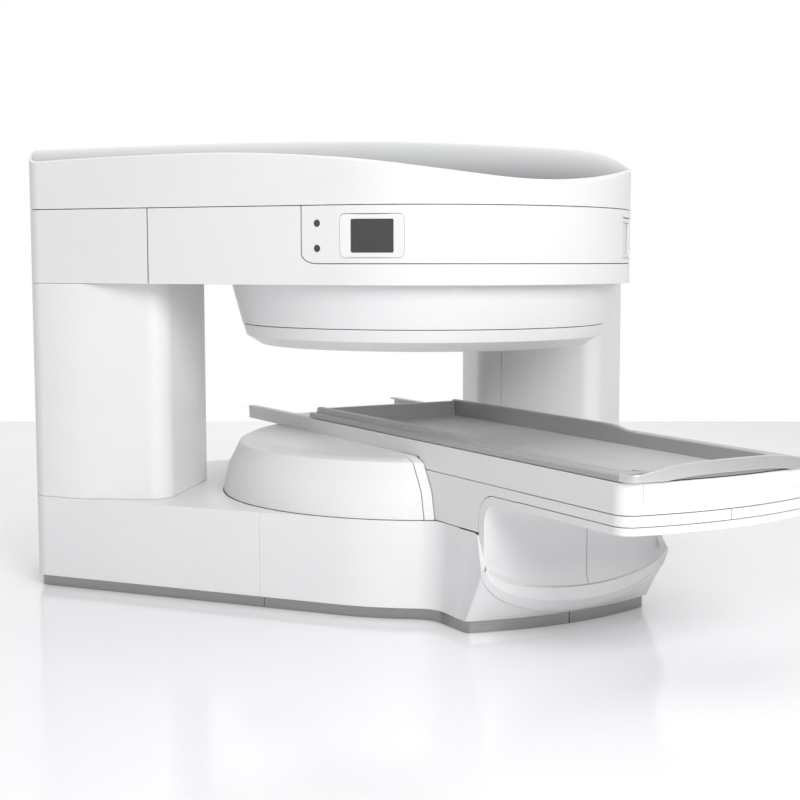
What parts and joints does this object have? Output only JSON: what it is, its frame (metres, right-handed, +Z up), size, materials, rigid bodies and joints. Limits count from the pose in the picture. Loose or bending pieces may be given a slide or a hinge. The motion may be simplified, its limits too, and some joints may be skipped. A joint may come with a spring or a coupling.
{
  "type": "open mri scanner",
  "caption": "Open magnet scanner: two round poles held apart by twin rear columns over a cantilevered bed with a sliding patient tabletop.",
  "frame": {"origin": "on the floor, on the vertical axis of the magnet poles", "axes": "+Z up, +X to the right seen from the foot of the table, the table sticks out along -Y and the columns stand at the rear, +Y"},
  "size_m": [3.272, 3.368, 1.959],
  "materials": {
    "white_cover": "satin white coat with a very fine grain",
    "grey_crown": "smooth pale grey gloss",
    "brushed_strip": "stainless, brushed along its length",
    "black_glass": "dark polished glass",
    "rail_aluminium": "satin anodised",
    "tray_composite": "smooth satin grey",
    "handle_steel": "satin bent band",
    "yoke_iron": "primed casting",
    "magnet_ferrite": "bare sintered blocks under a band",
    "coil_resin": "potted windings",
    "steel_bolt": "zinc plated",
    "frame_steel": "powder coated",
    "guide_steel": "ground and polished",
    "pulley_aluminium": "turned",
    "belt_rubber": "matt",
    "motor_black": "black enamel"
  },
  "bodies": {
    "gantry": {"base_cover_left": "white_cover", "base_cover_right": "white_cover", "base_front_cover_left": "white_cover", "base_front_cover_right": "white_cover", "bed_channel": "white_cover", "bed_frame": "frame_steel", "bed_lower_cover": "white_cover", "bed_side_panel_left": "white_cover", "bed_side_panel_right": "white_cover", "column_front_cover_left": "white_cover", "column_front_cover_right": "white_cover", "column_rear_cover_left": "white_cover", "column_rear_cover_right": "white_cover", "control_panel": "white_cover", "crown_cover": "grey_crown", "display_bezel_left": "white_cover", "display_bezel_right": "white_cover", "display_glass_left": "black_glass", "display_glass_right": "black_glass", "dome_cover": "white_cover", "dome_trim_left": "white_cover", "dome_trim_right": "white_cover", "drive_belt": "belt_rubber", "drive_motor": "motor_black", "guide_rails": "guide_steel", "indicator_lenses": "black_glass", "kick_strip_front_left": "brushed_strip", "kick_strip_front_right": "brushed_strip", "kick_strip_left": "brushed_strip", "kick_strip_right": "brushed_strip", "lid_cover": "white_cover", "lower_gradient_coil": "coil_resin", "lower_magnet": "magnet_ferrite", "lower_transmit_coil": "coil_resin", "lower_yoke": "yoke_iron", "pedestal_front_left": "white_cover", "pedestal_front_right": "white_cover", "toe_cover": "white_cover", "upper_cover_front": "white_cover", "upper_cover_left": "white_cover", "upper_cover_right": "white_cover", "upper_gradient_coil": "coil_resin", "upper_magnet": "magnet_ferrite", "upper_pole_cap": "white_cover", "upper_pole_cover": "white_cover", "upper_soffit": "white_cover", "upper_transmit_coil": "coil_resin", "upper_yoke": "yoke_iron", "yoke_bolts": "steel_bolt", "yoke_post_left": "yoke_iron", "yoke_post_right": "yoke_iron"},
    "table": {"tabletop": "tray_composite", "table_rail_left": "rail_aluminium", "table_rail_right": "rail_aluminium", "table_end_rail": "rail_aluminium", "table_handle": "handle_steel", "carriage_blocks": "guide_steel"},
    "drive_wheel": {"drive_pulley": "pulley_aluminium"},
    "idler_wheel": {"idler_pulley": "pulley_aluminium"}
  },
  "joints": [
    {"name": "table_slide", "type": "slide", "parent": "gantry", "child": "table", "axis": [0, 1, 0], "range_m": [0, 0.9]},
    {"name": "drive_spin", "type": "hinge", "parent": "gantry", "child": "drive_wheel", "pos_m": [0, -1.85, 0.67], "axis": [0, 0, 1], "range_deg": [0, 1640]},
    {"name": "idler_spin", "type": "hinge", "parent": "gantry", "child": "idler_wheel", "pos_m": [0, 0.93, 0.67], "axis": [0, 0, 1], "range_deg": [0, 1640]}
  ],
  "couplings": [
    {"joint": "drive_spin", "follows": "table_slide", "rad_per_m": 31.746},
    {"joint": "idler_spin", "follows": "table_slide", "rad_per_m": 31.746}
  ]
}
